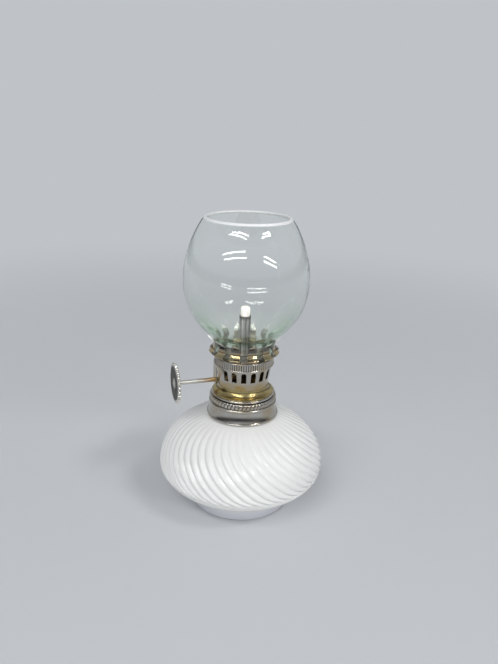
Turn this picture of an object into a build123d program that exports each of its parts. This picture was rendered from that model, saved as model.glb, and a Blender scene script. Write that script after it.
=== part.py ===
"""A miniature oil lamp: ribbed opal glass font, screw-in burner with a side wick winder, clear ball chimney.

Millimetres, +Z up, origin on the table under the middle of the foot. The winder shaft points along -X.
"""

import os
from math import asin, cos, degrees, pi, radians, sin, sqrt

from build123d import *

os.makedirs("parts", exist_ok=True)

# Font: pressed opal glass, one piece with its foot and neck
foot_radius = 23.5
foot_flare = 2.8
foot_height = 8.0
foot_edge = 0.8
body_radius = 38.4
widest_level = 20.0
shoulder_level = 43.5
glass_wall = 3.2
neck_wall = 2.2
neck_top = 48.6
rib_count = 48
rib_depth = 1.0
rib_turn_level = 17.0
upper_swirl = 42.0
lower_swirl = 30.0
rib_steps = 12
rib_least_depth = 0.05

# Collar: stamped shell round a threaded ring, plastered on the neck
lip_radius = 16.5
lip_level = 44.0
lip_bead = 0.5
collar_top = 55.0
collar_sheet = 0.6
rim_radius = 14.5
rim_height = 1.1
rim_round = 0.35
skirt_curve = 16.8
bead_radius = 0.7
rope_radius = 15.3
rope_bottom = 51.0
rope_height = 2.6
rope_count = 54
rope_depth = 0.45
rope_slant = 2.2
groove_depth = 0.5
thread_radius = 11.1
thread_ring_wall = 1.3
thread_ring_height = 5.2
plaster_gap_at_lip = 0.6
plaster_headroom = 2.4

# Burner base, tube plate and basket
spigot_height = 5.3
base_sheet = 0.6
base_flange_radius = 13.9
base_flange_edge = 0.6
basket_foot_radius = 11.2
basket_foot_level = 58.8
basket_top_radius = 12.8
basket_cone_height = 9.4
basket_wall = 0.5
slot_width = 2.3
slot_height = 5.0
slot_sill = 4.0
slot_count = 15
slot_pitch = 20.0
first_slot_angle = 212.6
tube_plate_level = 55.2
plate_thickness = 0.6
vent_radius = 0.8
vent_distance = 6.5

# Crown and deck
band_gap = 0.2
band_height = 4.2
band_radius = 13.5
band_bead_radius = 0.4
knurl_count = 80
knurl_depth = 0.4
prong_count = 12
prong_sheet = 0.5
prong_gap = 3.2
gap_angle = -109.0
belly_radius = 15.9
belly_rise = 2.0
waist_radius = 13.8
waist_rise = 5.0
tip_radius = 17.0
tip_rise = 9.7
point_height = 3.6
point_shoulder = 0.9
point_shoulder_rise = 1.5
deck_thickness = 0.5
air_hole_radius = 0.8
air_hole_rings = ((5.2, 10), (8.9, 18))

# Wick, tube and winder
wick_radius = 2.1
wick_bottom = 14.0
wick_show = 4.5
tube_wall = 0.4
tube_bottom = 54.0
tube_top = 90.5
shaft_radius = 1.0
shaft_level = 59.2
shaft_inner_end = 4.0
spur_radius = 2.2
spur_root_radius = 1.5
spur_teeth = 12
spur_thickness = 0.8
window_gap = 0.3
bracket_sheet = 0.5
ear_spacing = 5.0
ear_width = 3.2
ear_margin = 0.7
tab_sheet = 0.6
tab_face = 12.4
tab_width = 4.4
wheel_radius = 9.5
wheel_face = 31.3
wheel_rim_width = 1.4
wheel_web = 0.6
wheel_rim_wall = 1.0
wheel_scallops = 24
scallop_depth = 0.8
hub_radius = 2.0
hub_height = 0.5
rivet_height = 0.3

# Chimney: thin blown glass
chimney_wall = 1.4
chimney_widest = 27.5
chimney_widest_level = 106.5
chimney_shoulder_radius = 15.7
chimney_shoulder_level = 82.5
chimney_rim_radius = 18.5
chimney_top = 134.0
chimney_neck_blend = 5.0
chimney_rim_round = 0.5

# Clearances
running_clearance = 0.05
wick_clearance = 0.1
spur_clearance = 0.1
chimney_clearance = 0.35
shaft_hole_clearance = 0.2
cut_past = 2.0

# Sizes that follow from the ones above
foot_top_radius = foot_radius + foot_flare
rib_end_radius = lip_radius - plaster_gap_at_lip / 2
upper_rise = (shoulder_level - widest_level) / sqrt(1 - (lip_radius / body_radius) ** 2)
lower_drop = (widest_level - foot_height) / sqrt(1 - (foot_top_radius / body_radius) ** 2)
neck_bore = thread_radius - running_clearance - base_sheet
neck_radius = neck_bore + neck_wall
ring_outer = thread_radius + thread_ring_wall
shell_bore = rope_radius - rope_depth - collar_sheet
spigot_radius = thread_radius - running_clearance
base_bore = spigot_radius - base_sheet
basket_cone_top = basket_foot_level + basket_cone_height
band_bottom = basket_cone_top + band_gap
band_top = band_bottom + band_height
deck_level = band_top + band_gap
chimney_foot = deck_level + deck_thickness
tube_bore = wick_radius + wick_clearance
tube_radius = tube_bore + tube_wall
shaft_offset = wick_radius + spur_clearance + spur_radius
wick_top = tube_top + wick_show
neck_outer = waist_radius - prong_sheet - chimney_clearance


def polar(radius, angle):
    """The point at a radius and an angle in degrees."""
    return (radius * cos(radians(angle)), radius * sin(radians(angle)))


def lobed_outline(count, crest_radius, depth, turn=0.0):
    """A closed ring of round lobes with sharp valleys between them."""
    pitch = 360 / count
    valley_radius = crest_radius - depth
    for k in range(count):
        start = turn + k * pitch
        ThreePointArc(
            polar(valley_radius, start),
            polar(crest_radius, start + pitch / 2),
            polar(valley_radius, start + pitch),
        )


def radial_plane(angle, distance=0.0):
    """A plane that faces outwards at an angle, with its own y pointing up."""
    outwards = (cos(radians(angle)), sin(radians(angle)), 0)
    sideways = (-sin(radians(angle)), cos(radians(angle)), 0)
    return Plane(origin=(0, 0, 0), x_dir=sideways, z_dir=outwards).offset(distance)


def finish(piece, name):
    """Labels a piece and writes its file."""
    piece.part.label = name
    export_step(piece.part, f"parts/{name}.step")


# Font: the ribs lean one way below their turn level and the other way above it, and fade out at both ends
turn_point = -asin((widest_level - rib_turn_level) / lower_drop)
lower_end = -asin((widest_level - foot_height) / lower_drop)
upper_end = asin(sqrt(1 - (rib_end_radius / body_radius) ** 2))
with BuildPart() as font:
    for step in range(-rib_steps, rib_steps + 1):
        turned = abs(step) / rib_steps
        share = asin(turned) / (pi / 2)
        angle = turn_point + share * ((upper_end if step > 0 else lower_end) - turn_point)
        height = widest_level + sin(angle) * (upper_rise if angle > 0 else lower_drop)
        depth = rib_least_depth + (rib_depth - rib_least_depth) * (1 - share**4)
        swirl = upper_swirl if step > 0 else lower_swirl
        with BuildSketch(Plane.XY.offset(height)):
            with BuildLine():
                lobed_outline(rib_count, body_radius * cos(angle), depth, -swirl * turned)
            make_face()
    loft()
    with BuildSketch(Plane.XZ):
        with BuildLine():
            Polyline(
                (0, 0),
                (foot_radius, 0),
                (foot_top_radius + foot_edge / 2, foot_height),
                (foot_top_radius - foot_edge, foot_height + foot_edge),
                (0, foot_height + foot_edge),
                close=True,
            )
        make_face()
    revolve(axis=Axis.Z)
    with BuildSketch(Plane.XY.offset(widest_level)):
        Circle(neck_radius)
    extrude(amount=neck_top - widest_level)
    with BuildSketch(Plane.XZ):
        with BuildLine():
            middle = (0, widest_level)
            cavity_radius = body_radius - rib_depth - glass_wall
            cavity_rise = upper_rise - glass_wall
            cavity_drop = lower_drop - glass_wall
            EllipticalCenterArc(middle, cavity_radius, cavity_rise, start_angle=0, arc_size=90)
            Line((0, widest_level + cavity_rise), (0, widest_level - cavity_drop))
            EllipticalCenterArc(middle, cavity_radius, cavity_drop, start_angle=270, arc_size=90)
        make_face()
    revolve(axis=Axis.Z, mode=Mode.SUBTRACT)
    with BuildSketch(Plane.XY.offset(widest_level)):
        Circle(neck_bore)
    extrude(amount=neck_top - widest_level, mode=Mode.SUBTRACT)
finish(font, "font")

# Collar shell: lip bead, flared skirt, bead, rope band, groove and rolled rim, hollow below its inward rim
skirt_top = rope_bottom - 2 * bead_radius
rope_top = rope_bottom + rope_height
rim_bottom = collar_top - rim_height
rim_bore = rim_radius - groove_depth - collar_sheet
ring_top = collar_top - collar_sheet
with BuildPart() as collar_shell:
    with BuildSketch(Plane.XZ):
        with BuildLine():
            Line((0, collar_top), (0, lip_level))
            Line((0, lip_level), (lip_radius - lip_bead, lip_level))
            lip = ThreePointArc(
                (lip_radius - lip_bead, lip_level),
                (lip_radius, lip_level + lip_bead),
                (lip_radius - lip_bead, lip_level + 2 * lip_bead),
            )
            skirt = RadiusArc(lip @ 1, (rope_radius - rope_depth, skirt_top), -skirt_curve)
            bead = ThreePointArc(
                skirt @ 1,
                (rope_radius - rope_depth + bead_radius, skirt_top + bead_radius),
                (rope_radius - rope_depth, rope_bottom),
            )
            band_face = Line(bead @ 1, (rope_radius - rope_depth, rope_top))
            groove = Line(band_face @ 1, (rim_radius - groove_depth, rope_top))
            groove_face = Line(groove @ 1, (rim_radius - groove_depth, rim_bottom))
            rim = Line(groove_face @ 1, (rim_radius, rim_bottom))
            rim_face = Line(rim @ 1, (rim_radius, collar_top))
            Line(rim_face @ 1, (0, collar_top))
        make_face()
    revolve(axis=Axis.Z)
    for turn, height in ((0, rope_bottom), (rope_slant, rope_top)):
        with BuildSketch(Plane.XY.offset(height)):
            with BuildLine():
                lobed_outline(rope_count, rope_radius, rope_depth, turn)
            make_face()
    loft(ruled=True)
    fillet(collar_shell.edges().group_by(Axis.Z)[-1].sort_by(SortBy.RADIUS)[-1], radius=rim_round)
    with BuildSketch(Plane.XZ):
        with BuildLine():
            Polyline(
                (0, lip_level),
                (lip_radius - 2 * lip_bead, lip_level),
                (shell_bore, skirt_top),
                (shell_bore, rope_top - collar_sheet),
                (rim_bore, rope_top - collar_sheet),
                (rim_bore, ring_top),
                (thread_radius, ring_top),
                (thread_radius, collar_top),
                (0, collar_top),
                close=True,
            )
        make_face()
    revolve(axis=Axis.Z, mode=Mode.SUBTRACT)
finish(collar_shell, "collar_shell")

# Threaded ring under the collar's rim; the lands that carry the thread are left plain
ring_bottom = ring_top - thread_ring_height
with BuildPart() as thread_ring:
    with BuildSketch(Plane.XY.offset(ring_bottom)):
        Circle(ring_outer)
        Circle(thread_radius, mode=Mode.SUBTRACT)
    extrude(amount=thread_ring_height)
finish(thread_ring, "thread_ring")

# Plaster between the glass neck, the threaded ring and the shell
skirt_slope = (lip_radius - 2 * lip_bead - shell_bore) / (skirt_top - lip_level)
plaster_bottom = lip_level + plaster_gap_at_lip
plaster_top = ring_top - plaster_headroom
with BuildPart() as neck_plaster:
    with BuildSketch(Plane.XZ):
        with BuildLine():
            Polyline(
                (neck_radius, plaster_bottom),
                (shell_bore + skirt_slope * (skirt_top - plaster_bottom), plaster_bottom),
                (shell_bore, skirt_top),
                (shell_bore, plaster_top),
                (ring_outer, plaster_top),
                (ring_outer, neck_top),
                (neck_radius, neck_top),
                close=True,
            )
        make_face()
    revolve(axis=Axis.Z)
finish(neck_plaster, "neck_plaster")

# Burner base: spigot in the collar, flange on its rim, cove up to the basket, notched where the shaft passes
cove_bottom = collar_top + base_flange_edge
with BuildPart() as burner_base:
    with BuildSketch(Plane.XZ):
        with BuildLine():
            Polyline(
                (base_bore, collar_top - spigot_height),
                (spigot_radius, collar_top - spigot_height),
                (spigot_radius, collar_top),
                (base_flange_radius, collar_top),
                (base_flange_radius, cove_bottom),
            )
            cove = RadiusArc(
                (base_flange_radius, cove_bottom),
                (basket_foot_radius, basket_foot_level),
                base_flange_radius - basket_foot_radius,
            )
            Polyline(
                cove @ 1,
                (basket_foot_radius - base_sheet, basket_foot_level),
                (base_bore, tube_plate_level + plate_thickness),
                (base_bore, collar_top - spigot_height),
            )
        make_face()
    revolve(axis=Axis.Z)
    with BuildSketch(Plane.YZ):
        with Locations((shaft_offset, shaft_level)):
            Circle(shaft_radius + shaft_hole_clearance)
    extrude(amount=-basket_top_radius - cut_past, mode=Mode.SUBTRACT)
finish(burner_base, "burner_base")

# Tube plate: closes the base round the wick tube, with a vent hole
with BuildPart() as tube_plate:
    with BuildSketch(Plane.XY.offset(tube_plate_level)):
        Circle(base_bore)
        Circle(tube_radius, mode=Mode.SUBTRACT)
        with Locations((0, -vent_distance)):
            Circle(vent_radius, mode=Mode.SUBTRACT)
    extrude(amount=plate_thickness)
finish(tube_plate, "tube_plate")

# Basket: pierced cone, notched for the shaft, with a straight top edge that the crown's band closes round
cone_spread = basket_top_radius - basket_foot_radius
with BuildPart() as basket:
    with BuildSketch(Plane.XZ):
        with BuildLine():
            Polyline(
                (basket_foot_radius - basket_wall, basket_foot_level),
                (basket_foot_radius, basket_foot_level),
                (basket_top_radius, basket_cone_top),
                (basket_top_radius, deck_level),
                (basket_top_radius - basket_wall, deck_level),
                (basket_top_radius - basket_wall, basket_cone_top),
                close=True,
            )
        make_face()
    revolve(axis=Axis.Z)
    slot_planes = [radial_plane(first_slot_angle + k * slot_pitch) for k in range(slot_count)]
    slot_bottom = basket_foot_level + slot_sill
    with BuildSketch(*slot_planes):
        with Locations((0, slot_bottom)):
            Rectangle(slot_width, slot_height - slot_width / 2, align=(Align.CENTER, Align.MIN))
        with Locations((0, slot_bottom + slot_height - slot_width / 2)):
            Circle(slot_width / 2)
    extrude(amount=basket_top_radius + cut_past, mode=Mode.SUBTRACT)
    with BuildSketch(Plane.YZ):
        with Locations((shaft_offset, shaft_level)):
            Circle(shaft_radius + shaft_hole_clearance)
    extrude(amount=-basket_top_radius - cut_past, mode=Mode.SUBTRACT)
finish(basket, "basket")

# Bearing tab for the winder shaft, seated on the basket's cone under the band
with BuildPart() as shaft_bearing:
    with BuildSketch(Plane.YZ.offset(-tab_face)):
        tab_rise = basket_cone_top - shaft_level
        with Locations((shaft_offset, shaft_level)):
            Circle(tab_width / 2)
            Rectangle(tab_width, tab_rise, align=(Align.CENTER, Align.MIN))
            Circle(shaft_radius + running_clearance, mode=Mode.SUBTRACT)
    extrude(amount=tab_sheet)
    with BuildSketch(Plane.XZ):
        with BuildLine():
            Polyline(
                (0, basket_foot_level),
                (basket_foot_radius, basket_foot_level),
                (basket_top_radius, basket_cone_top),
                (0, basket_cone_top),
                close=True,
            )
        make_face()
    revolve(axis=Axis.Z, mode=Mode.SUBTRACT)
finish(shaft_bearing, "shaft_bearing")

# Crown: knurled band between two beads, and the ring of spring prongs above it, cut apart by the gaps
gap_planes = [radial_plane(gap_angle + k * 360 / prong_count) for k in range(prong_count)]
gap_bottom = band_top + prong_gap / 2
tip_level = band_top + tip_rise
point_bottom = tip_level - point_height
half_pitch = tip_radius * sin(pi / prong_count)
bead_middle = band_radius - band_bead_radius / 2


def prong_line(inset, foot_radius_here):
    """The bent line of a prong's face this far inside its outer face; gives its two ends."""
    bend = Spline(
        (foot_radius_here, band_top - prong_sheet),
        (belly_radius - inset, band_top + belly_rise),
        (waist_radius - inset, band_top + waist_rise),
        tangents=((belly_radius - band_radius, belly_rise), (0, 1)),
    )
    flare = Spline(
        bend @ 1,
        (tip_radius - inset, tip_level),
        tangents=((0, 1), (tip_radius - waist_radius, tip_rise - waist_rise)),
    )
    return bend @ 0, flare @ 1


with BuildPart() as crown:
    with BuildSketch(Plane.XZ):
        with BuildLine():
            outer_foot, outer_tip = prong_line(0, band_radius - knurl_depth)
            inner_foot, inner_tip = prong_line(prong_sheet, basket_top_radius)
            Line(outer_foot, inner_foot)
            Line(outer_tip, inner_tip)
        make_face()
    revolve(axis=Axis.Z)
    with BuildSketch(*gap_planes):
        with BuildLine():
            for side in (-1, 1):
                edge = Line((side * prong_gap / 2, gap_bottom), (side * prong_gap / 2, point_bottom))
                shoulder_end = (side * (prong_gap / 2 + point_shoulder), point_bottom + point_shoulder_rise)
                shoulder = TangentArc(edge @ 1, shoulder_end, tangent=edge % 1)
                point = TangentArc(shoulder @ 1, (side * half_pitch, tip_level), tangent=shoulder % 1)
                Line(point @ 1, (side * half_pitch, tip_level + cut_past))
            Line((-half_pitch, tip_level + cut_past), (half_pitch, tip_level + cut_past))
            ThreePointArc((-prong_gap / 2, gap_bottom), (0, band_top), (prong_gap / 2, gap_bottom))
        make_face()
    extrude(amount=tip_radius + cut_past, mode=Mode.SUBTRACT)
    with BuildSketch(Plane.XY.offset(band_bottom)):
        Circle(band_radius - knurl_depth)
        Circle(basket_top_radius, mode=Mode.SUBTRACT)
    extrude(amount=band_height)
    with BuildSketch(Plane.XY.offset(band_bottom + band_bead_radius)):
        with BuildLine():
            lobed_outline(knurl_count, band_radius, knurl_depth)
        make_face()
        Circle(basket_top_radius, mode=Mode.SUBTRACT)
    extrude(amount=band_height - 2 * band_bead_radius)
    with BuildSketch(Plane.XZ):
        with Locations((bead_middle, band_bottom + band_bead_radius)):
            Circle(band_bead_radius)
        with Locations((bead_middle, band_top - band_bead_radius)):
            Circle(band_bead_radius)
    revolve(axis=Axis.Z)
finish(crown, "crown")

# Deck plate on the basket's top edge: the chimney stands on it
with BuildPart() as deck_plate:
    with BuildSketch(Plane.XY.offset(deck_level)):
        Circle(basket_top_radius)
        Circle(tube_radius, mode=Mode.SUBTRACT)
        for ring_radius, hole_count in air_hole_rings:
            with PolarLocations(ring_radius, hole_count):
                Circle(air_hole_radius, mode=Mode.SUBTRACT)
    extrude(amount=deck_thickness)
finish(deck_plate, "deck_plate")

# Wick tube, with a window on the side of the spur wheel
with BuildPart() as wick_tube:
    with BuildSketch(Plane.XY.offset(tube_bottom)):
        Circle(tube_radius)
        Circle(tube_bore, mode=Mode.SUBTRACT)
    extrude(amount=tube_top - tube_bottom)
    with BuildSketch(Plane.XZ):
        with Locations((0, shaft_level)):
            Rectangle(spur_thickness + 2 * window_gap, 2 * (spur_radius + window_gap))
    extrude(amount=-tube_radius - cut_past, mode=Mode.SUBTRACT)
finish(wick_tube, "wick_tube")

# Wick: a round cotton cord that slides in the tube
with BuildPart() as wick:
    with BuildSketch(Plane.XY.offset(wick_bottom)):
        Circle(wick_radius)
    extrude(amount=wick_top - wick_bottom)
    fillet(wick.edges().group_by(Axis.Z)[-1], radius=wick_radius / 2)
finish(wick, "wick")

# Winder bracket: a strip on the tube plate with an ear each side of the spur wheel
bracket_floor = tube_plate_level + plate_thickness
ear_top = shaft_level + shaft_radius + ear_margin
with BuildPart() as winder_bracket:
    with BuildSketch(Plane.XZ.offset(-(shaft_offset + ear_width / 2))):
        with BuildLine():
            Polyline(
                (-ear_spacing / 2 - bracket_sheet, ear_top),
                (-ear_spacing / 2 - bracket_sheet, bracket_floor),
                (ear_spacing / 2 + bracket_sheet, bracket_floor),
                (ear_spacing / 2 + bracket_sheet, ear_top),
                (ear_spacing / 2, ear_top),
                (ear_spacing / 2, bracket_floor + bracket_sheet),
                (-ear_spacing / 2, bracket_floor + bracket_sheet),
                (-ear_spacing / 2, ear_top),
                close=True,
            )
        make_face()
    extrude(amount=ear_width)
    with BuildSketch(Plane.YZ):
        with Locations((shaft_offset, shaft_level)):
            Circle(shaft_radius + running_clearance)
    extrude(amount=ear_spacing, both=True, mode=Mode.SUBTRACT)
finish(winder_bracket, "winder_bracket")

# Winder shaft, riveted over outside the thumb wheel
with BuildPart() as winder_shaft:
    with BuildSketch(Plane.YZ.offset(-wheel_face - rivet_height)):
        with Locations((shaft_offset, shaft_level)):
            Circle(shaft_radius)
    extrude(amount=wheel_face + rivet_height + shaft_inner_end)
finish(winder_shaft, "winder_shaft")

# Spur wheel: pressed on the shaft, with pointed teeth that reach the wick
with BuildPart() as spur_wheel:
    spur_plane = Plane.YZ.shift_origin((0, shaft_offset, shaft_level)).offset(-spur_thickness / 2)
    with BuildSketch(spur_plane):
        with BuildLine():
            teeth = [
                polar(spur_root_radius if k % 2 else spur_radius, 180 + k * 180 / spur_teeth)
                for k in range(2 * spur_teeth)
            ]
            Polyline(*teeth, close=True)
        make_face()
        Circle(shaft_radius, mode=Mode.SUBTRACT)
    extrude(amount=spur_thickness)
finish(spur_wheel, "spur_wheel")

# Thumb wheel: a dished disc with a scalloped rim turned towards the lamp
with BuildPart() as thumb_wheel:
    wheel_plane = Plane.YZ.offset(-wheel_face).shift_origin((-wheel_face, shaft_offset, shaft_level))
    with BuildSketch(wheel_plane):
        with BuildLine():
            lobed_outline(wheel_scallops, wheel_radius, scallop_depth)
        make_face()
    extrude(amount=wheel_rim_width)
    with BuildSketch(wheel_plane.offset(wheel_web)):
        Circle(wheel_radius - scallop_depth - wheel_rim_wall)
    extrude(amount=wheel_rim_width, mode=Mode.SUBTRACT)
    with BuildSketch(wheel_plane.offset(wheel_web)):
        Circle(hub_radius)
    extrude(amount=wheel_rim_width - wheel_web + hub_height)
    with BuildSketch(wheel_plane):
        Circle(shaft_radius)
    extrude(amount=wheel_rim_width + hub_height, mode=Mode.SUBTRACT)
finish(thumb_wheel, "thumb_wheel")

# Chimney: straight neck in the prongs, ball and tapering mouth, one even wall
def arc_through(spread, rise):
    """The radius of an arc that starts upright and comes in by a spread over a rise."""
    return (spread**2 + rise**2) / (2 * spread)


lower_arc = arc_through(chimney_widest - chimney_shoulder_radius, chimney_widest_level - chimney_shoulder_level)
upper_arc = arc_through(chimney_widest - chimney_rim_radius, chimney_top - chimney_widest_level)


def chimney_outline(inset):
    """Half the section up to the face this far inside the glass; gives the corner between neck and ball."""
    neck = neck_outer - inset
    lower = lower_arc - inset
    upper = upper_arc - inset
    lower_middle = chimney_widest - lower_arc
    upper_middle = chimney_widest - upper_arc
    corner = chimney_widest_level - sqrt(lower**2 - (neck - lower_middle) ** 2)
    mouth = upper_middle + sqrt(upper**2 - (chimney_top - chimney_widest_level) ** 2)
    start = -degrees(asin((chimney_widest_level - corner) / lower))
    rise = degrees(asin((chimney_top - chimney_widest_level) / upper))
    Polyline((0, chimney_top), (0, chimney_foot), (neck, chimney_foot), (neck, corner))
    CenterArc((lower_middle, chimney_widest_level), lower, start, -start)
    CenterArc((upper_middle, chimney_widest_level), upper, 0, rise)
    Line((mouth, chimney_top), (0, chimney_top))
    return (neck, corner)


with BuildPart() as chimney:
    for inset, mode in ((0, Mode.ADD), (chimney_wall, Mode.SUBTRACT)):
        with BuildSketch(Plane.XZ) as half_section:
            with BuildLine():
                corner = chimney_outline(inset)
            make_face()
            fillet(half_section.vertices().sort_by_distance(corner)[0], radius=chimney_neck_blend + inset)
        revolve(axis=Axis.Z, mode=mode)
    fillet(chimney.edges().group_by(Axis.Z)[-1], radius=chimney_rim_round)
finish(chimney, "chimney")
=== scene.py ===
from math import asin, cos, pi, radians, sin, sqrt
from random import Random

import bmesh
import bpy
from mathutils import Matrix, Vector


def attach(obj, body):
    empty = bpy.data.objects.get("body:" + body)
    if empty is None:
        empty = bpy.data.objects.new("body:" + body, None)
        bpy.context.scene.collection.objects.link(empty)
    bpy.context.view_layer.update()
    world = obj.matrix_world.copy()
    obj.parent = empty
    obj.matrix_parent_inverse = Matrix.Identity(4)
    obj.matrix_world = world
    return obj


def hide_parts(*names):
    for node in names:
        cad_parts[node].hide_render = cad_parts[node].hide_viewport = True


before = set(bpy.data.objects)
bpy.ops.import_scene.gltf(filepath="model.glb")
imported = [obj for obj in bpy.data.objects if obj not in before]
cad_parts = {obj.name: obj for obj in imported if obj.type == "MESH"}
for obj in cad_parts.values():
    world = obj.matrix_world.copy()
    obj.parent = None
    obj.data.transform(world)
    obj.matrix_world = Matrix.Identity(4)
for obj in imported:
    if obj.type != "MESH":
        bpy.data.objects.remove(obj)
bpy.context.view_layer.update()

# Font: the oil reservoir, one piece of pressed opal glass with its foot and neck. The mould left slanting
# ribs that turn back below the widest part and fade out at the collar and at the foot, whose lower edge
# is ground flat. Its sizes, and those of all the pieces below, are in millimetres and degrees.
MM = 0.001
POLE = 0.001
MERGE = 0.004
FONT_RIBS = 48
FONT_FINE = 8
FONT_RADIUS = 38.4
FONT_WIDEST = 20.0
FONT_RISE = 26.03
FONT_DROP = 16.47
RIBS_FOOT_LEVEL = 8.2
RIBS_TURN_LEVEL = 17.0
RIBS_TOP_RADIUS = 16.2
RIB_STEPS = 36
RIB_LEAST = 0.05
RIB_SWELL = 0.95
UPPER_SWIRL = 42
LOWER_SWIRL = 30
HOLLOW_RADIUS = 34.2
HOLLOW_RISE = 22.83
HOLLOW_DROP = 13.27
HOLLOW_START = 72.2
HOLLOW_SPAN = 162.2
HOLLOW_STEPS = 24


def raise_rings(count, fine, rows):
    """Raises a wall ring by ring; a row is radius, height and, for a ribbed ring, rib depth and turn.

    A ring with the radius POLE closes the wall on its axis.
    """
    bm = bmesh.new()
    ring = bmesh.ops.create_circle(bm, segments=count * fine, radius=1.0)["verts"]
    edges = list(bm.edges)
    pitch = 2 * pi / count
    last_turn = 0.0
    for number, row in enumerate(rows):
        radius, height, depth, turn = (*row, 0, 0)[:4]
        if number:
            made = bmesh.ops.extrude_edge_only(bm, edges=edges)["geom"]
            ring = [part for part in made if isinstance(part, bmesh.types.BMVert)]
            raised = set(ring)
            edges = [
                part for part in made
                if isinstance(part, bmesh.types.BMEdge) and raised.issuperset(part.verts)
            ]
        turn_now = radians(turn)
        for vert in ring:
            angle = Vector((1, 0)).angle_signed(vert.co.xy.normalized(), 0.0) * -1 - last_turn
            across = (angle / pitch) % 1.0
            reach = (radius - depth * (2 * across - 1) ** 2) * MM
            vert.co = (reach * cos(angle + turn_now), reach * sin(angle + turn_now), height * MM)
        last_turn = turn_now
    bmesh.ops.remove_doubles(bm, verts=bm.verts, dist=MERGE * MM)
    bmesh.ops.recalc_face_normals(bm, faces=bm.faces)
    return bm


def make_piece(name, bm, body, node, material, sharp):
    """Turns a bmesh into a smooth shaded piece that rides on a body and stands for a CAD node."""
    mesh = bpy.data.meshes.new(name)
    bm.to_mesh(mesh)
    bm.free()
    mesh.shade_smooth()
    mesh.set_sharp_from_angle(angle=radians(sharp))
    piece = bpy.data.objects.new(name, mesh)
    bpy.context.scene.collection.objects.link(piece)
    mesh.materials.append(material)
    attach(piece, body)
    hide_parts(node)


def to_linear(colour):
    """An sRGB hex colour as linear red, green, blue and alpha."""
    shares = [int(colour[k:k + 2], 16) / 255 for k in (1, 3, 5)]
    return [s / 12.92 if s <= 0.04045 else ((s + 0.055) / 1.055) ** 2.4 for s in shares] + [1.0]


def add_node(tree, kind, inputs=None, **settings):
    """Adds one node, sets its properties, and fills or links its inputs."""
    node = tree.nodes.new(kind)
    for name, value in settings.items():
        setattr(node, name, value)
    for socket, value in (inputs or {}).items():
        if isinstance(value, bpy.types.NodeSocket):
            tree.links.new(value, node.inputs[socket])
        else:
            node.inputs[socket].default_value = value
    return node


def start_material(name):
    """A new material with its shader and the piece's own coordinates."""
    material = bpy.data.materials.new(name)
    material.use_nodes = True
    tree = material.node_tree
    place = add_node(tree, "ShaderNodeTexCoord").outputs["Object"]
    return material, tree, tree.nodes["Principled BSDF"], place


# Opal glass: white through and through, so the skin is glossy and light seeps a little way in. Pressing
# leaves faint chill marks about 9 mm across, and the thin foot looks cooler and greyer than the body.
opal_glass, tree, shader, place = start_material("opal_glass")
height = add_node(tree, "ShaderNodeSeparateXYZ", {0: place}).outputs["Z"]
foot_share = add_node(tree, "ShaderNodeMapRange", {
    "Value": height, "From Min": 11 * MM, "From Max": 3 * MM,
})
chill = add_node(tree, "ShaderNodeTexNoise", {"Vector": place, "Scale": 1 / (9 * MM), "Detail": 3.0})
skin = add_node(tree, "ShaderNodeMix", {
    0: chill.outputs["Fac"], 6: to_linear("#efefec"), 7: to_linear("#f6f6f4"),
}, data_type="RGBA")
tint = add_node(tree, "ShaderNodeMix", {
    0: foot_share.outputs[0], 6: skin.outputs[2], 7: to_linear("#dfe0e6"),
}, data_type="RGBA")
gloss = add_node(tree, "ShaderNodeMapRange", {"Value": chill.outputs["Fac"], "To Min": 0.09, "To Max": 0.2})
ripple = add_node(tree, "ShaderNodeBump", {
    "Height": chill.outputs["Fac"], "Strength": 0.25, "Distance": 0.15 * MM,
})
tree.links.new(tint.outputs[2], shader.inputs["Base Color"])
tree.links.new(gloss.outputs[0], shader.inputs["Roughness"])
tree.links.new(ripple.outputs[0], shader.inputs["Normal"])
shader.inputs["IOR"].default_value = 1.5
shader.inputs["Subsurface Weight"].default_value = 0.12
shader.inputs["Subsurface Radius"].default_value = (1.0, 1.0, 1.0)
shader.inputs["Subsurface Scale"].default_value = 2 * MM

turn_point = -asin((FONT_WIDEST - RIBS_TURN_LEVEL) / FONT_DROP)
lower_end = -asin((FONT_WIDEST - RIBS_FOOT_LEVEL) / FONT_DROP)
upper_end = asin(sqrt(1 - (RIBS_TOP_RADIUS / FONT_RADIUS) ** 2))
font_rows = [
    (POLE, 0), (22.4, 0), (23.1, 0.08), (23.45, 0.35), (23.62, 0.8),
    (26.3, 7.3), (26.6, 7.75), (26.68, 8.05),
]
for step in range(-RIB_STEPS, RIB_STEPS + 1):
    turned = abs(step) / RIB_STEPS
    share = asin(turned) / (pi / 2)
    around = turn_point + share * ((upper_end if step > 0 else lower_end) - turn_point)
    rise = FONT_WIDEST + sin(around) * (FONT_RISE if around > 0 else FONT_DROP)
    depth = RIB_LEAST + RIB_SWELL * (1 - share ** 4)
    swirl = -(UPPER_SWIRL if step > 0 else LOWER_SWIRL) * turned
    font_rows.append((FONT_RADIUS * cos(around), rise, depth, swirl))
font_rows += [
    (radius, level, 0, -UPPER_SWIRL) for radius, level in (
        (12.9, 43.7), (12.65, 44.0), (12.65, 48.1), (12.2, 48.6), (10.9, 48.6), (10.45, 48.2),
    )
]
for step in range(1, HOLLOW_STEPS + 1):
    around = radians(HOLLOW_START - HOLLOW_SPAN * step / HOLLOW_STEPS)
    hollow_rise = HOLLOW_RISE if around > 0 else HOLLOW_DROP
    level = FONT_WIDEST + hollow_rise * sin(around)
    font_rows.append((max(HOLLOW_RADIUS * cos(around), POLE), level, 0, -UPPER_SWIRL))
bm = raise_rings(FONT_RIBS, FONT_FINE, font_rows)
make_piece("ribbed_font", bm, "base", "font", opal_glass, sharp=80)

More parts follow.
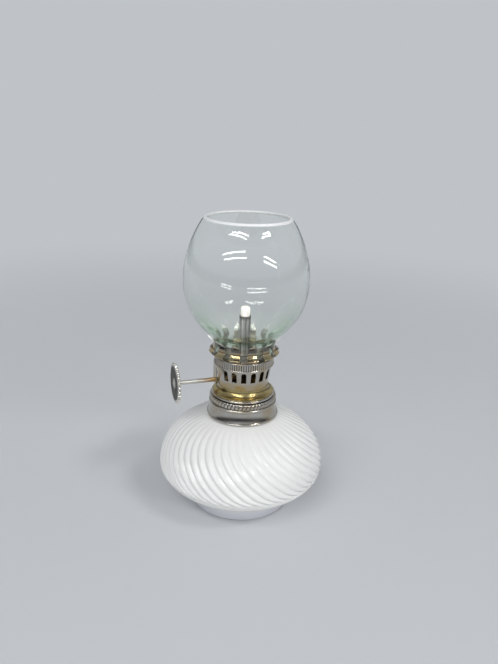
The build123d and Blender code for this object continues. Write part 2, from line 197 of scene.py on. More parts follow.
# Neck and collar: plaster on the glass neck holds a brass ring with the burner's thread and, round it, a
# stamped shell with a rolled lip, a flared skirt, a bead, a rope band and a rolled rim. The shell is nickel
# plated.
ROPE_STRANDS = 54
ROPE_FINE = 6
ROPE_STEPS = 12
ROPE_TOP = 53.6
ROPE_HEIGHT = 2.6
ROPE_SLANT = 2.6
ROPE_SWELL = 0.5
ROPE_GROOVE = 0.6
SHELL_RADIUS = 14.85
BEAD_LEVEL = 50.3
BEAD_RADIUS = 0.7
SKIRT_TOP = 49.6
SKIRT_HEIGHT = 4.6
SKIRT_FLARE = 1.15
SKIRT_HOLLOW = 0.6
LIP_DISTANCE = 16.0
LIP_LEVEL = 44.5
LIP_RADIUS = 0.5
ROUND_STEPS = 8

# Plaster: chalky and matt, with grit and pores about 0.8 mm across.
neck_plaster, tree, shader, place = start_material("neck_plaster")
grit = add_node(tree, "ShaderNodeTexNoise", {"Vector": place, "Scale": 1 / (0.8 * MM), "Detail": 4.0})
chalk = add_node(tree, "ShaderNodeMix", {
    0: grit.outputs["Fac"], 6: to_linear("#b9b2a3"), 7: to_linear("#d9d4c7"),
}, data_type="RGBA")
pores = add_node(tree, "ShaderNodeBump", {
    "Height": grit.outputs["Fac"], "Strength": 0.5, "Distance": 0.1 * MM,
})
tree.links.new(chalk.outputs[2], shader.inputs["Base Color"])
tree.links.new(pores.outputs[0], shader.inputs["Normal"])
shader.inputs["Roughness"].default_value = 0.92

# Worn nickel plate: grey metal, with a painted highlight along every edge, and darkened in every recess
# that the ambient occlusion finds, as grime and painted shade. It has yellowed in clouds about 9 mm across,
# at the basket's foot and outside on the prongs' bellies, where it is thin over the brass. The prongs'
# outer faces that look downwards under their flare carry a painted dark reflection, and their points a
# painted highlight. All but the clouds go by height: each row below is a level with its shares of yellow,
# painted dark reflection and painted highlight.
ZONES_FOOT = 55
ZONES_HEIGHT = 30
PLATE_ZONES = (
    (57.0, 0, 0, 0), (58.0, 0.6, 0, 0), (60.5, 0.6, 0, 0), (63.0, 0, 0, 0),
    (72.2, 0, 0, 0), (73.0, 0.6, 0, 0), (77.1, 0.7, 0, 0), (77.6, 0.3, 0.6, 0),
    (78.0, 0, 0.9, 0), (79.9, 0, 0.9, 0), (80.4, 0, 0.1, 0.9),
)
worn_nickel, tree, shader, place = start_material("worn_nickel")
height = add_node(tree, "ShaderNodeSeparateXYZ", {0: place}).outputs["Z"]
wear = add_node(tree, "ShaderNodeTexNoise", {
    "Vector": place, "Scale": 1 / (9 * MM), "Detail": 3.0, "Roughness": 0.55,
})
clouds = add_node(tree, "ShaderNodeMapRange", {
    "Value": wear.outputs["Fac"], "From Min": 0.46, "From Max": 0.72, "To Max": 0.55,
})
level = add_node(tree, "ShaderNodeMapRange", {
    "Value": height, "From Min": ZONES_FOOT * MM, "From Max": (ZONES_FOOT + ZONES_HEIGHT) * MM,
})
zones = add_node(tree, "ShaderNodeValToRGB", {"Fac": level.outputs[0]})
zones.color_ramp.elements[1].color = (0, 0, 1, 1)
for at, yellow, dark, white in PLATE_ZONES:
    stop = zones.color_ramp.elements.new((at - ZONES_FOOT) / ZONES_HEIGHT)
    stop.color = (yellow, dark, white, 1)
zone = add_node(tree, "ShaderNodeSeparateColor", {0: zones.outputs["Color"]})
true_face = add_node(tree, "ShaderNodeNewGeometry").outputs["Normal"]
from_axis = add_node(tree, "ShaderNodeVectorMath", {0: place, 1: (1, 1, 0)}, operation="MULTIPLY")
outward = add_node(tree, "ShaderNodeVectorMath", {
    0: true_face, 1: from_axis.outputs[0],
}, operation="DOT_PRODUCT")
outside = add_node(tree, "ShaderNodeMapRange", {
    "Value": outward.outputs["Value"], "From Min": -2 * MM, "From Max": 2 * MM,
})
thin_zone = add_node(tree, "ShaderNodeMath", {
    0: zone.outputs[0], 1: outside.outputs[0],
}, operation="MULTIPLY")
thin_plate = add_node(tree, "ShaderNodeMath", {
    0: thin_zone.outputs[0], 1: clouds.outputs[0],
}, operation="ADD", use_clamp=True)
plate = add_node(tree, "ShaderNodeMix", {
    0: thin_plate.outputs[0], 6: to_linear("#bfbcb6"), 7: to_linear("#b59c64"),
}, data_type="RGBA")
# Grime and painted shade: recesses that the ambient occlusion finds are darkened towards near black.
recess = add_node(tree, "ShaderNodeAmbientOcclusion", {"Distance": 1.4 * MM}, samples=8, only_local=True)
grime_and_shade = add_node(tree, "ShaderNodeMapRange", {
    "Value": recess.outputs["AO"], "From Min": 0.9, "From Max": 0.4, "To Max": 0.85,
})
grimy_shaded_plate = add_node(tree, "ShaderNodeMix", {
    0: grime_and_shade.outputs[0], 6: plate.outputs[2], 7: to_linear("#332e27"),
}, data_type="RGBA")
# Painted dark reflection: outer faces in the flare zone that look downwards are darkened.
face_lean = add_node(tree, "ShaderNodeSeparateXYZ", {0: true_face}).outputs["Z"]
under_flare = add_node(tree, "ShaderNodeMapRange", {"Value": face_lean, "From Min": 0.35, "From Max": 0.05})
dark_reflection_zone = add_node(tree, "ShaderNodeMath", {
    0: zone.outputs[1], 1: outside.outputs[0],
}, operation="MULTIPLY")
dark_reflection_share = add_node(tree, "ShaderNodeMath", {
    0: under_flare.outputs[0], 1: dark_reflection_zone.outputs[0],
}, operation="MULTIPLY")
dark_reflected_plate = add_node(tree, "ShaderNodeMix", {
    0: dark_reflection_share.outputs[0], 6: grimy_shaded_plate.outputs[2], 7: to_linear("#5a5855"),
}, data_type="RGBA")
# Painted highlight: edges that stand out, found by the bevel and the occlusion, are lightened towards near
# white.
round_edge = add_node(tree, "ShaderNodeBevel", {"Radius": 0.12 * MM}, samples=6)
agree = add_node(tree, "ShaderNodeVectorMath", {
    0: round_edge.outputs[0], 1: true_face,
}, operation="DOT_PRODUCT")
on_edge = add_node(tree, "ShaderNodeMapRange", {
    "Value": agree.outputs["Value"], "From Min": 0.99, "From Max": 0.9, "To Max": 0.9,
})
proud = add_node(tree, "ShaderNodeMapRange", {
    "Value": recess.outputs["AO"], "From Min": 0.75, "From Max": 0.95,
})
edge_highlight = add_node(tree, "ShaderNodeMath", {
    0: on_edge.outputs[0], 1: proud.outputs[0],
}, operation="MULTIPLY")
# Painted highlight: the prongs' points, from the ramp's third share, join the edges' painted highlight.
painted_highlight = add_node(tree, "ShaderNodeMath", {
    0: edge_highlight.outputs[0], 1: zone.outputs[2],
}, operation="MAXIMUM")
highlighted_skin = add_node(tree, "ShaderNodeMix", {
    0: painted_highlight.outputs[0], 6: dark_reflected_plate.outputs[2], 7: to_linear("#f3f1ec"),
}, data_type="RGBA")
polish = add_node(tree, "ShaderNodeMapRange", {
    "Value": wear.outputs["Fac"], "To Min": 0.06, "To Max": 0.24,
})
matt_point = add_node(tree, "ShaderNodeMath", {
    0: zone.outputs[2], 1: 0.3, 2: polish.outputs[0],
}, operation="MULTIPLY_ADD")
scuff = add_node(tree, "ShaderNodeTexNoise", {"Vector": place, "Scale": 1 / (0.7 * MM), "Detail": 2.0})
scratches = add_node(tree, "ShaderNodeBump", {
    "Height": scuff.outputs["Fac"], "Strength": 0.05, "Distance": 0.05 * MM,
    "Normal": round_edge.outputs[0],
})
tree.links.new(highlighted_skin.outputs[2], shader.inputs["Base Color"])
tree.links.new(matt_point.outputs[0], shader.inputs["Roughness"])
tree.links.new(scratches.outputs[0], shader.inputs["Normal"])
shader.inputs["Metallic"].default_value = 1.0

# Aged brass: olive yellow metal under a thin brown film, duller in patches about 5 mm across. The spigot
# and the ring it screws into carry a rolled thread, up to a little below the collar's rim.
THREAD_PITCH = 1.4
THREAD_TOP = 54.4
aged_brass, tree, shader, place = start_material("aged_brass")
film = add_node(tree, "ShaderNodeTexNoise", {
    "Vector": place, "Scale": 1 / (5 * MM), "Detail": 4.0, "Roughness": 0.6,
})
browning = add_node(tree, "ShaderNodeMapRange", {
    "Value": film.outputs["Fac"], "From Min": 0.42, "From Max": 0.7, "To Max": 0.6,
})
brass_skin = add_node(tree, "ShaderNodeMix", {
    0: browning.outputs[0], 6: to_linear("#b5a473"), 7: to_linear("#7a6a47"),
}, data_type="RGBA")
dulling = add_node(tree, "ShaderNodeMapRange", {
    "Value": film.outputs["Fac"], "To Min": 0.1, "To Max": 0.34,
})
spot = add_node(tree, "ShaderNodeSeparateXYZ", {0: place})
angle = add_node(tree, "ShaderNodeMath", {0: spot.outputs["Y"], 1: spot.outputs["X"]}, operation="ARCTAN2")
turns = add_node(tree, "ShaderNodeMath", {0: angle.outputs[0], 1: -1 / (2 * pi)}, operation="MULTIPLY")
climb = add_node(tree, "ShaderNodeMath", {
    0: spot.outputs["Z"], 1: 1 / (THREAD_PITCH * MM), 2: turns.outputs[0],
}, operation="MULTIPLY_ADD")
ridge = add_node(tree, "ShaderNodeMath", {0: climb.outputs[0], 1: 1.0}, operation="PINGPONG")
below_rim = add_node(tree, "ShaderNodeMath", {
    0: spot.outputs["Z"], 1: THREAD_TOP * MM,
}, operation="LESS_THAN")
thread = add_node(tree, "ShaderNodeMath", {
    0: ridge.outputs[0], 1: below_rim.outputs[0],
}, operation="MULTIPLY")
round_edge = add_node(tree, "ShaderNodeBevel", {"Radius": 0.12 * MM}, samples=4)
thread_relief = add_node(tree, "ShaderNodeBump", {
    "Height": thread.outputs[0], "Strength": 1.0, "Distance": 0.35 * MM, "Normal": round_edge.outputs[0],
})
tree.links.new(brass_skin.outputs[2], shader.inputs["Base Color"])
tree.links.new(dulling.outputs[0], shader.inputs["Roughness"])
tree.links.new(thread_relief.outputs[0], shader.inputs["Normal"])
shader.inputs["Metallic"].default_value = 1.0


def finish_node(material, *nodes):
    """Gives CAD nodes their real finish."""
    for node in nodes:
        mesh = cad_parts[node].data
        mesh.materials.clear()
        mesh.materials.append(material)


finish_node(neck_plaster, "neck_plaster")
finish_node(aged_brass, "thread_ring")
collar_rows = [
    (11.1, 54.42), (11.1, 54.86), (11.24, 55.0), (13.9, 55.0), (14.3, 54.93), (14.48, 54.72), (14.5, 54.4),
    (14.42, 54.08), (14.2, 53.92), (14.0, 53.86), (14.0, 53.62), (14.8, 53.6),
]
for step in range(1, ROPE_STEPS):
    swell = sin(pi * step / ROPE_STEPS) ** 0.6
    level = ROPE_TOP - ROPE_HEIGHT * step / ROPE_STEPS
    slant = -ROPE_SLANT * step / ROPE_STEPS
    collar_rows.append((SHELL_RADIUS + ROPE_SWELL * swell, level, ROPE_GROOVE * swell, slant))
below_rope = []
for step in range(ROUND_STEPS + 1):
    around = pi * step / ROUND_STEPS
    below_rope.append((SHELL_RADIUS + BEAD_RADIUS * sin(around), BEAD_LEVEL + BEAD_RADIUS * cos(around)))
for step in range(1, ROUND_STEPS):
    share = step / ROUND_STEPS
    hollow = SKIRT_HOLLOW * share * (1 - share)
    below_rope.append((SHELL_RADIUS + SKIRT_FLARE * share - hollow, SKIRT_TOP - SKIRT_HEIGHT * share))
for step in range(ROUND_STEPS + 1):
    around = pi * step / ROUND_STEPS
    below_rope.append((LIP_DISTANCE + LIP_RADIUS * sin(around), LIP_LEVEL + LIP_RADIUS * cos(around)))
below_rope += [(15.5, 44.05), (14.25, 49.6), (14.25, 53.0), (13.4, 53.05), (13.4, 54.4), (11.1, 54.42)]
collar_rows += [(radius, level, 0, -ROPE_SLANT) for radius, level in below_rope]
bm = raise_rings(ROPE_STRANDS, ROPE_FINE, collar_rows)
make_piece("rope_collar", bm, "base", "collar_shell", worn_nickel, sharp=50)

# Burner base: a brass pressing with a rolled thread that screws into the collar and a hollow cove above
# its flange. A brass plate with a vent hole closes it and holds the wick tube.
finish_node(aged_brass, "burner_base", "tube_plate")

# Basket: a cone of plated sheet, pierced with arched slots that let the air in and crimped on the cove. A
# tab beside the slots guides the shaft.
finish_node(worn_nickel, "basket", "shaft_bearing")

# Crown: a knurled band between two beads is pressed on the basket's top edge, and its twelve prongs
# spring outwards and hold the chimney. The pierced deck inside lets air past the flame.
finish_node(worn_nickel, "crown")

# Smoked brass: the flame above the deck has dulled and browned it, with soot in patches about 3 mm
# across.
smoked_brass, tree, shader, place = start_material("smoked_brass")
soot = add_node(tree, "ShaderNodeTexNoise", {
    "Vector": place, "Scale": 1 / (3 * MM), "Detail": 4.0, "Roughness": 0.6,
})
sooty = add_node(tree, "ShaderNodeMapRange", {
    "Value": soot.outputs["Fac"], "From Min": 0.4, "From Max": 0.65,
})
deck_skin = add_node(tree, "ShaderNodeMix", {
    0: sooty.outputs[0], 6: to_linear("#a3957c"), 7: to_linear("#453e36"),
}, data_type="RGBA")
soot_matt = add_node(tree, "ShaderNodeMapRange", {
    "Value": soot.outputs["Fac"], "To Min": 0.3, "To Max": 0.7,
})
crust = add_node(tree, "ShaderNodeBump", {
    "Height": soot.outputs["Fac"], "Strength": 0.3, "Distance": 0.1 * MM,
})
tree.links.new(deck_skin.outputs[2], shader.inputs["Base Color"])
tree.links.new(soot_matt.outputs[0], shader.inputs["Roughness"])
tree.links.new(crust.outputs[0], shader.inputs["Normal"])
shader.inputs["Metallic"].default_value = 1.0
finish_node(smoked_brass, "deck_plate")

# Wick tube: a thin brass tube, drawn through a die and nickel plated, which stands in the middle of the
# burner. It is soldered into the plate below and into the deck.
DRAW_LINE = 0.9
DRAW_LENGTH = 60

# Drawn nickel: the die left fine lines along the tube in its relief and polish, and its colour carries
# painted reflections as bright and dark streaks along it. The flame has browned its mouth.
drawn_nickel, tree, shader, place = start_material("drawn_nickel")
stretched = add_node(tree, "ShaderNodeVectorMath", {
    0: place, 1: (1 / (DRAW_LINE * MM), 1 / (DRAW_LINE * MM), 1 / (DRAW_LENGTH * MM)),
}, operation="MULTIPLY")
lines = add_node(tree, "ShaderNodeTexNoise", {"Vector": stretched.outputs[0], "Scale": 1.0, "Detail": 2.0})
# Painted reflection: bright and dark streaks along the tube.
reflection_streaks = add_node(tree, "ShaderNodeMapRange", {
    "Value": lines.outputs["Fac"], "From Min": 0.4, "From Max": 0.6,
})
streaked_tube_skin = add_node(tree, "ShaderNodeMix", {
    0: reflection_streaks.outputs[0], 6: to_linear("#4f4c48"), 7: to_linear("#e6e4df"),
}, data_type="RGBA")
height = add_node(tree, "ShaderNodeSeparateXYZ", {0: place}).outputs["Z"]
at_mouth = add_node(tree, "ShaderNodeMapRange", {
    "Value": height, "From Min": 88.6 * MM, "From Max": 90.2 * MM, "To Max": 0.8,
})
browned = add_node(tree, "ShaderNodeMix", {
    0: at_mouth.outputs[0], 6: streaked_tube_skin.outputs[2], 7: to_linear("#4a4038"),
}, data_type="RGBA")
draw_marks = add_node(tree, "ShaderNodeBump", {
    "Height": lines.outputs["Fac"], "Strength": 0.3, "Distance": 0.1 * MM,
})
line_polish = add_node(tree, "ShaderNodeMapRange", {
    "Value": lines.outputs["Fac"], "To Min": 0.32, "To Max": 0.12,
})
tree.links.new(browned.outputs[2], shader.inputs["Base Color"])
tree.links.new(line_polish.outputs[0], shader.inputs["Roughness"])
tree.links.new(draw_marks.outputs[0], shader.inputs["Normal"])
shader.inputs["Metallic"].default_value = 1.0
finish_node(drawn_nickel, "wick_tube")

# Winder: a brass bracket holds the shaft beside the tube, where a toothed wheel bites the wick. On the
# outer end is a stamped thumb disc with a scalloped rim, riveted on.
AXLE_Y = 4.4
AXLE_Z = 59.2
DISC_X = -31.3
DISC_SCALLOPS = 24
DISC_FINE = 8
finish_node(aged_brass, "winder_bracket", "spur_wheel")

# Shaded and worn nickel: the disc's hollow face is painted dark as shade, with a ragged edge about 2.5 mm
# across, and only its rim and hub keep the bright nickel. Near the basket the shaft's plating has worn
# through to the brass.
shaded_worn_nickel, tree, shader, place = start_material("shaded_worn_nickel")
spot = add_node(tree, "ShaderNodeSeparateXYZ", {0: place})
on_face = add_node(tree, "ShaderNodeCombineXYZ", {"Y": spot.outputs["Y"], "Z": spot.outputs["Z"]})
from_axle = add_node(tree, "ShaderNodeVectorMath", {
    0: on_face.outputs[0], 1: (0, AXLE_Y * MM, AXLE_Z * MM),
}, operation="DISTANCE")
patchy = add_node(tree, "ShaderNodeTexNoise", {
    "Vector": place, "Scale": 1 / (2.5 * MM), "Detail": 4.0, "Roughness": 0.6,
})
patchy_reach = add_node(tree, "ShaderNodeMath", {
    0: patchy.outputs["Fac"], 1: 1.6 * MM, 2: from_axle.outputs["Value"],
}, operation="MULTIPLY_ADD")
# Painted shade on the disc's hollow face, with a ragged edge, and less metallic there too.
hollow = add_node(tree, "ShaderNodeMapRange", {
    "Value": patchy_reach.outputs[0], "From Min": 9.2 * MM, "From Max": 8.4 * MM, "To Max": 0.93,
})
hub = add_node(tree, "ShaderNodeMapRange", {
    "Value": from_axle.outputs["Value"], "From Min": 1.9 * MM, "From Max": 2.6 * MM, "To Min": 0.25,
})
shade_share = add_node(tree, "ShaderNodeMath", {
    0: hollow.outputs[0], 1: hub.outputs[0],
}, operation="MULTIPLY")
shaded_disc_skin = add_node(tree, "ShaderNodeMix", {
    0: shade_share.outputs[0], 6: to_linear("#e4e1da"), 7: to_linear("#26241f"),
}, data_type="RGBA")
smooth = add_node(tree, "ShaderNodeMapRange", {"Value": patchy.outputs["Fac"], "To Min": 0.1, "To Max": 0.3})
disc_polish = add_node(tree, "ShaderNodeMath", {
    0: shade_share.outputs[0], 1: 0.4, 2: smooth.outputs[0],
}, operation="MULTIPLY_ADD")
worn_through = add_node(tree, "ShaderNodeMapRange", {
    "Value": spot.outputs["X"], "From Min": -21 * MM, "From Max": -14 * MM, "To Max": 0.8,
})
shaft_skin = add_node(tree, "ShaderNodeMix", {
    0: worn_through.outputs[0], 6: shaded_disc_skin.outputs[2], 7: to_linear("#b08a45"),
}, data_type="RGBA")
shade_metallic = add_node(tree, "ShaderNodeMapRange", {
    "Value": shade_share.outputs[0], "To Min": 1.0, "To Max": 0.2,
})
tree.links.new(shaft_skin.outputs[2], shader.inputs["Base Color"])
tree.links.new(disc_polish.outputs[0], shader.inputs["Roughness"])
tree.links.new(shade_metallic.outputs[0], shader.inputs["Metallic"])
finish_node(shaded_worn_nickel, "winder_shaft")
disc_rows = [
    (1.0, 0), (1.9, 0), (2.15, 0.08), (2.5, 0.24), (7.2, 0.28), (7.6, 0.14), (8.0, 0.02),
    (8.7, 0.04, 0.4), (9.2, 0.16, 0.75), (9.44, 0.42, 0.85), (9.5, 0.7, 0.9),
    (9.44, 0.98, 0.85), (9.2, 1.24, 0.75), (8.7, 1.37, 0.4),
    (8.1, 1.4), (7.9, 1.28), (7.8, 0.9), (7.5, 0.64), (2.4, 0.62), (2.08, 0.8), (2.0, 1.7),
    (1.8, 1.9), (1.0, 1.9), (1.0, 0),
]
bm = raise_rings(DISC_SCALLOPS, DISC_FINE, disc_rows)
on_axle = Matrix.Translation(Vector((DISC_X, AXLE_Y, AXLE_Z)) * MM)
along_shaft = Matrix(((0, 0, 1), (1, 0, 0), (0, 1, 0))).to_4x4()
bmesh.ops.transform(bm, verts=bm.verts, matrix=on_axle @ along_shaft)
make_piece("thumb_disc", bm, "winder", "thumb_wheel", shaded_worn_nickel, sharp=60)

# Wick: a cord twisted from eight strands of cotton, which hangs through the tube into the oil. Its cut
# end stands out of the tube and has frayed into a soft tuft, which is no wider than the tube's bore and
# can be drawn in.
CORD_STRANDS = 8
CORD_FINE = 6
CORD_RADIUS = 2.1
CORD_GROOVE = 0.25
CORD_START = 14.5
CORD_STEP = 0.6
CORD_STEPS = 128
CORD_TWIST = 4
TUFT_TWIST = 6
TUFT_LEVEL = 92.0
TUFT_HEIGHT = 2.2
FIBRES = 160
FIBRE_SEED = 11
FIBRE_LENGTH = 0.8
FIBRE_ROOT = 0.11
FIBRE_TIP = 0.04

# Cotton: off-white and quite matt, with a soft sheen and a nap of lint about 0.5 mm across.
cotton_cord, tree, shader, place = start_material("cotton_cord")
lint = add_node(tree, "ShaderNodeTexNoise", {
    "Vector": place, "Scale": 1 / (0.5 * MM), "Detail": 4.0, "Roughness": 0.7,
})
yarn = add_node(tree, "ShaderNodeMix", {
    0: lint.outputs["Fac"], 6: to_linear("#e6e1d4"), 7: to_linear("#fbf9f3"),
}, data_type="RGBA")
nap = add_node(tree, "ShaderNodeBump", {
    "Height": lint.outputs["Fac"], "Strength": 0.6, "Distance": 0.12 * MM,
})
tree.links.new(yarn.outputs[2], shader.inputs["Base Color"])
tree.links.new(nap.outputs[0], shader.inputs["Normal"])
shader.inputs["Roughness"].default_value = 0.95
shader.inputs["Sheen Weight"].default_value = 0.3
cord_rows = [(POLE, 14.0), (1.7, 14.0, 0.2), (2.05, 14.3, CORD_GROOVE, 1)]
for step in range(1, CORD_STEPS):
    cord_turn = CORD_TWIST * step
    cord_rows.append((CORD_RADIUS, CORD_START + step * CORD_STEP, CORD_GROOVE, cord_turn))
for radius, level, depth in (
    (2.16, 91.4, 0.3), (2.18, 92.2, 0.35), (2.18, 93.0, 0.35), (2.14, 93.8, 0.4), (1.85, 94.4, 0.45),
    (1.1, 94.8, 0.35), (POLE, 95.0, 0),
):
    cord_turn += TUFT_TWIST
    cord_rows.append((radius, level, depth, cord_turn))
bm = raise_rings(CORD_STRANDS, CORD_FINE, cord_rows)
fibre_seed = Random(FIBRE_SEED)
for fibre in range(FIBRES):
    around = fibre_seed.uniform(0, 2 * pi)
    lift = fibre_seed.uniform(0.05, 1.0)
    level = TUFT_LEVEL + TUFT_HEIGHT * lift
    reach = (1.95 - 1.2 * lift ** 3) * fibre_seed.uniform(0.7, 1.0)
    lean = Vector((0.4 * cos(around), 0.4 * sin(around), 1 + lift)) + Vector(
        (fibre_seed.uniform(-0.3, 0.3), fibre_seed.uniform(-0.3, 0.3), fibre_seed.uniform(-0.3, 0.3))
    )
    stand = Matrix.Translation(Vector((reach * cos(around), reach * sin(around), level)) * MM)
    bmesh.ops.create_cone(
        bm, cap_ends=True, segments=5, depth=FIBRE_LENGTH * MM,
        radius1=FIBRE_ROOT * MM, radius2=FIBRE_TIP * MM,
        matrix=stand @ lean.to_track_quat("Z", "Y").to_matrix().to_4x4(),
    )
make_piece("wick_cord", bm, "wick", "wick", cotton_cord, sharp=80)

# Chimney: clear blown glass that stands on the deck inside the prongs. Its mouth was cut off and ground,
# which left a white matt edge.
# Clear glass: drawn out by blowing, so it has slow waves about 14 mm long. The heel is thicker, so it is
# a little cloudy there, and green where it is seen slantwise.
clear_glass, tree, shader, place = start_material("clear_glass")
height = add_node(tree, "ShaderNodeSeparateXYZ", {0: place}).outputs["Z"]
heel = add_node(tree, "ShaderNodeMapRange", {"Value": height, "From Min": 99 * MM, "From Max": 86 * MM})
slanting = add_node(tree, "ShaderNodeLayerWeight", {"Blend": 0.5}).outputs["Facing"]
long_way = add_node(tree, "ShaderNodeMapRange", {
    "Value": slanting, "From Min": 0.3, "From Max": 0.95, "To Min": 0.06,
})
green_share = add_node(tree, "ShaderNodeMath", {
    0: heel.outputs[0], 1: long_way.outputs[0],
}, operation="MULTIPLY")
cast = add_node(tree, "ShaderNodeMix", {
    0: green_share.outputs[0], 6: to_linear("#ffffff"), 7: to_linear("#8fc995"),
}, data_type="RGBA")
mouth = add_node(tree, "ShaderNodeMapRange", {
    "Value": height, "From Min": 132.9 * MM, "From Max": 133.4 * MM, "To Max": 0.8,
})
cloudy = add_node(tree, "ShaderNodeMapRange", {
    "Value": height, "From Min": 88 * MM, "From Max": 84 * MM, "To Max": 0.03,
})
matt_share = add_node(tree, "ShaderNodeMath", {
    0: mouth.outputs[0], 1: cloudy.outputs[0],
}, operation="MAXIMUM")
clear_share = add_node(tree, "ShaderNodeMath", {0: 1.0, 1: matt_share.outputs[0]}, operation="SUBTRACT")
ground = add_node(tree, "ShaderNodeMapRange", {"Value": matt_share.outputs[0], "To Max": 0.5})
waves = add_node(tree, "ShaderNodeTexNoise", {"Vector": place, "Scale": 1 / (14 * MM), "Detail": 1.0})
wavy_face = add_node(tree, "ShaderNodeBump", {
    "Height": waves.outputs["Fac"], "Strength": 0.12, "Distance": 0.4 * MM,
})
tree.links.new(cast.outputs[2], shader.inputs["Base Color"])
tree.links.new(ground.outputs[0], shader.inputs["Roughness"])
tree.links.new(clear_share.outputs[0], shader.inputs["Transmission Weight"])
tree.links.new(wavy_face.outputs[0], shader.inputs["Normal"])
shader.inputs["IOR"].default_value = 1.5
body_tint = add_node(tree, "ShaderNodeVolumeAbsorption", {"Color": to_linear("#9fd6a6"), "Density": 28.0})
tree.links.new(body_tint.outputs[0], tree.nodes["Material Output"].inputs["Volume"])
finish_node(clear_glass, "chimney")
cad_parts["chimney"].visible_shadow = False

# Stage: a pale paper floor that rises into a wall all round, so that it has no edge from any side. Its
# sizes, and those of the lights, are in metres.
STAGE_FLAT = 1.3
STAGE_CURVE = 0.5
STAGE_WALL = 1.5
STAGE_SIDES = 96
EVEN_FROM = 0.12
EVEN_BEYOND = 0.65
bm = bmesh.new()
middle = bm.verts.new((0, 0, 0))
flat_edge = bm.verts.new((STAGE_FLAT, 0, 0))
sweep = bmesh.ops.spin(
    bm, geom=[flat_edge], cent=(STAGE_FLAT, 0, STAGE_CURVE), axis=(0, -1, 0), angle=pi / 2, steps=16,
)["geom_last"]
wall_top = bm.verts.new((STAGE_FLAT + STAGE_CURVE, 0, STAGE_WALL))
bm.edges.new((middle, flat_edge))
bm.edges.new((sweep[0], wall_top))
bmesh.ops.spin(
    bm, geom=list(bm.verts) + list(bm.edges), cent=(0, 0, 0), axis=(0, 0, 1), angle=2 * pi,
    steps=STAGE_SIDES, use_merge=True,
)
bmesh.ops.remove_doubles(bm, verts=bm.verts, dist=0.01 * MM)
bmesh.ops.recalc_face_normals(bm, faces=bm.faces)
mesh = bpy.data.meshes.new("stage")
bm.to_mesh(mesh)
bm.free()
mesh.shade_smooth()
stage = bpy.data.objects.new("stage", mesh)
bpy.context.scene.collection.objects.link(stage)

# Paper: matt and pale. Round the lamp it takes shadows, and further off it has one even brightness in the
# picture, in mirrors and through glass.
stage_paper, tree, shader, place = start_material("stage_paper")
shader.inputs["Base Color"].default_value = to_linear("#d6d8da")
shader.inputs["Roughness"].default_value = 0.9
reach = add_node(tree, "ShaderNodeVectorMath", {0: place}, operation="LENGTH").outputs["Value"]
away = add_node(tree, "ShaderNodeMapRange", {
    "Value": reach, "From Min": EVEN_FROM, "From Max": EVEN_BEYOND,
}, interpolation_type="SMOOTHSTEP")
path = add_node(tree, "ShaderNodeLightPath")
mirrored = add_node(tree, "ShaderNodeMath", {
    0: path.outputs["Is Glossy Ray"], 1: path.outputs["Is Transmission Ray"],
}, operation="MAXIMUM")
looked_at = add_node(tree, "ShaderNodeMath", {
    0: path.outputs["Is Camera Ray"], 1: mirrored.outputs[0],
}, operation="MAXIMUM")
even_share = add_node(tree, "ShaderNodeMath", {
    0: away.outputs[0], 1: looked_at.outputs[0],
}, operation="MULTIPLY")
even_paper = add_node(tree, "ShaderNodeEmission", {"Color": to_linear("#bfc3c8"), "Strength": 1.0})
paper = add_node(tree, "ShaderNodeMixShader", {
    0: even_share.outputs[0], 1: shader.outputs[0], 2: even_paper.outputs[0],
})
tree.links.new(paper.outputs[0], tree.nodes["Material Output"].inputs["Surface"])
mesh.materials.append(stage_paper)

# Light: four fittings with a pair of tubes each hang in front of the lamp, in a lower and an upper row,
# left and right. A tube is given by the headings and heights, in degrees, under which the lamp sees its
# two ends.
CAMERA_TURN = -19.0
LAMP_MIDDLE = Vector((0, 0, 0.12))
TUBE_DISTANCE = 1.4
TUBE_WIDTH = 0.035
TUBE_POWER = 1.75
TUBES = (
    ("left_low", (-44.2, 19.6), (-0.8, 25.6)), ("left_mid", (-49.7, 23.6), (-3.5, 32.3)),
    ("left_high", (-52.6, 43.7), (-2.3, 45.5)), ("left_top", (-44.5, 48.4), (1.8, 49.2)),
    ("right_low", (33.0, 20.6), (55.1, 11.8)), ("right_mid", (34.1, 25.6), (56.4, 15.9)),
    ("right_high", (37.7, 44.5), (62.2, 42.4)), ("right_top", (42.4, 47.3), (62.1, 45.6)),
)


def tube_end(heading, lift):
    """The point this many degrees to the right of the camera and above the level, seen from the lamp."""
    around = radians(heading + CAMERA_TURN - 90)
    level_share = cos(radians(lift))
    towards = Vector((cos(around) * level_share, sin(around) * level_share, sin(radians(lift))))
    return LAMP_MIDDLE + towards * TUBE_DISTANCE


for name, first, last in TUBES:
    start, end = tube_end(*first), tube_end(*last)
    tube_data = bpy.data.lights.new(f"tube_{name}", "AREA")
    tube_data.shape = "RECTANGLE"
    tube_data.size = (end - start).length
    tube_data.size_y = TUBE_WIDTH
    tube_data.energy = TUBE_POWER
    tube = bpy.data.objects.new(f"tube_{name}", tube_data)
    bpy.context.scene.collection.objects.link(tube)
    along = (end - start).normalized()
    facing = (start + end - 2 * LAMP_MIDDLE).normalized()
    facing = (facing - along * facing.dot(along)).normalized()
    turned = Matrix((along, facing.cross(along), facing)).transposed().to_4x4()
    tube.matrix_world = Matrix.Translation((start + end) / 2) @ turned
    tube.visible_camera = False

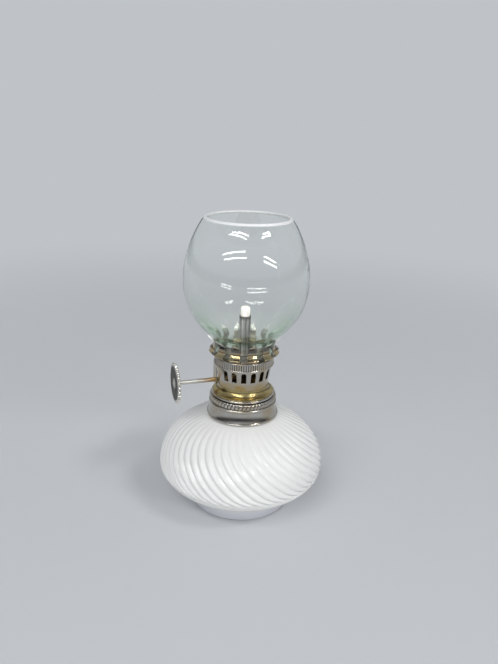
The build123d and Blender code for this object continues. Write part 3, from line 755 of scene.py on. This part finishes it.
# Horizon: a dark felt band round the lamp, a little above the floor, which fades out upwards and
# downwards. Only mirrors see it, as the horizon of a darker room.
HORIZON_RADIUS = 0.9
HORIZON_HEIGHT = 0.24
HORIZON_LEVEL = 0.11
HORIZON_SOLID = 0.03
HORIZON_FADED = 0.11
bm = bmesh.new()
bmesh.ops.create_cone(
    bm, cap_ends=False, segments=96, radius1=HORIZON_RADIUS, radius2=HORIZON_RADIUS, depth=HORIZON_HEIGHT,
    matrix=Matrix.Translation((0, 0, HORIZON_HEIGHT / 2)),
)
mesh = bpy.data.meshes.new("horizon")
bm.to_mesh(mesh)
bm.free()
horizon = bpy.data.objects.new("horizon", mesh)
bpy.context.scene.collection.objects.link(horizon)
horizon.visible_camera = False
horizon.visible_diffuse = False
horizon.visible_transmission = False
horizon.visible_shadow = False

# Felt: nearly black and without any shine.
horizon_felt, tree, shader, place = start_material("horizon_felt")
shader.inputs["Base Color"].default_value = to_linear("#1d1e21")
shader.inputs["Roughness"].default_value = 1.0
height = add_node(tree, "ShaderNodeSeparateXYZ", {0: place}).outputs["Z"]
from_middle = add_node(tree, "ShaderNodeMath", {0: height, 1: HORIZON_LEVEL}, operation="SUBTRACT")
above_below = add_node(tree, "ShaderNodeMath", {0: from_middle.outputs[0]}, operation="ABSOLUTE")
fade = add_node(tree, "ShaderNodeMapRange", {
    "Value": above_below.outputs[0], "From Min": HORIZON_FADED, "From Max": HORIZON_SOLID,
}, interpolation_type="SMOOTHSTEP")
tree.links.new(fade.outputs[0], shader.inputs["Alpha"])
mesh.materials.append(horizon_felt)

# Room: an even grey light from all sides fills the shadows.
world = bpy.data.worlds.new("room")
bpy.context.scene.world = world
world.use_nodes = True
room_light = world.node_tree.nodes["Background"]
room_light.inputs["Color"].default_value = (0.36, 0.37, 0.39, 1.0)
room_light.inputs["Strength"].default_value = 1.0
bpy.context.scene.view_settings.view_transform = "Standard"

# Camera: the lamp is seen from a little above, its winder shaft pointing to the left and slightly
# forwards. The focal length is in pixels of a picture that is 664 pixels high.
CAMERA_PLACE = Vector((-83.21, -247.49, 174.5)) * MM
CAMERA_PITCH = 19.35
CAMERA_ROLL = 2.0
SENSOR_HEIGHT = 24.0
FOCAL_PIXELS = 620
PICTURE_HEIGHT = 664
camera_data = bpy.data.cameras.new("camera")
camera_data.sensor_fit = "VERTICAL"
camera_data.sensor_height = SENSOR_HEIGHT
camera_data.lens = SENSOR_HEIGHT * FOCAL_PIXELS / PICTURE_HEIGHT
camera_data.clip_start = 0.01
camera = bpy.data.objects.new("camera", camera_data)
bpy.context.scene.collection.objects.link(camera)
bpy.context.scene.camera = camera
turn, pitch, roll = radians(CAMERA_TURN), radians(CAMERA_PITCH), radians(CAMERA_ROLL)
level_right = Vector((cos(turn), sin(turn), 0))
level_ahead = Vector((-sin(turn), cos(turn), 0))
ahead = level_ahead * cos(pitch) - Vector((0, 0, 1)) * sin(pitch)
upright = level_right.cross(ahead)
across = level_right * cos(roll) + upright * sin(roll)
upwards = upright * cos(roll) - level_right * sin(roll)
looking = Matrix((across, upwards, -ahead)).transposed().to_4x4()
camera.matrix_world = Matrix.Translation(CAMERA_PLACE) @ looking
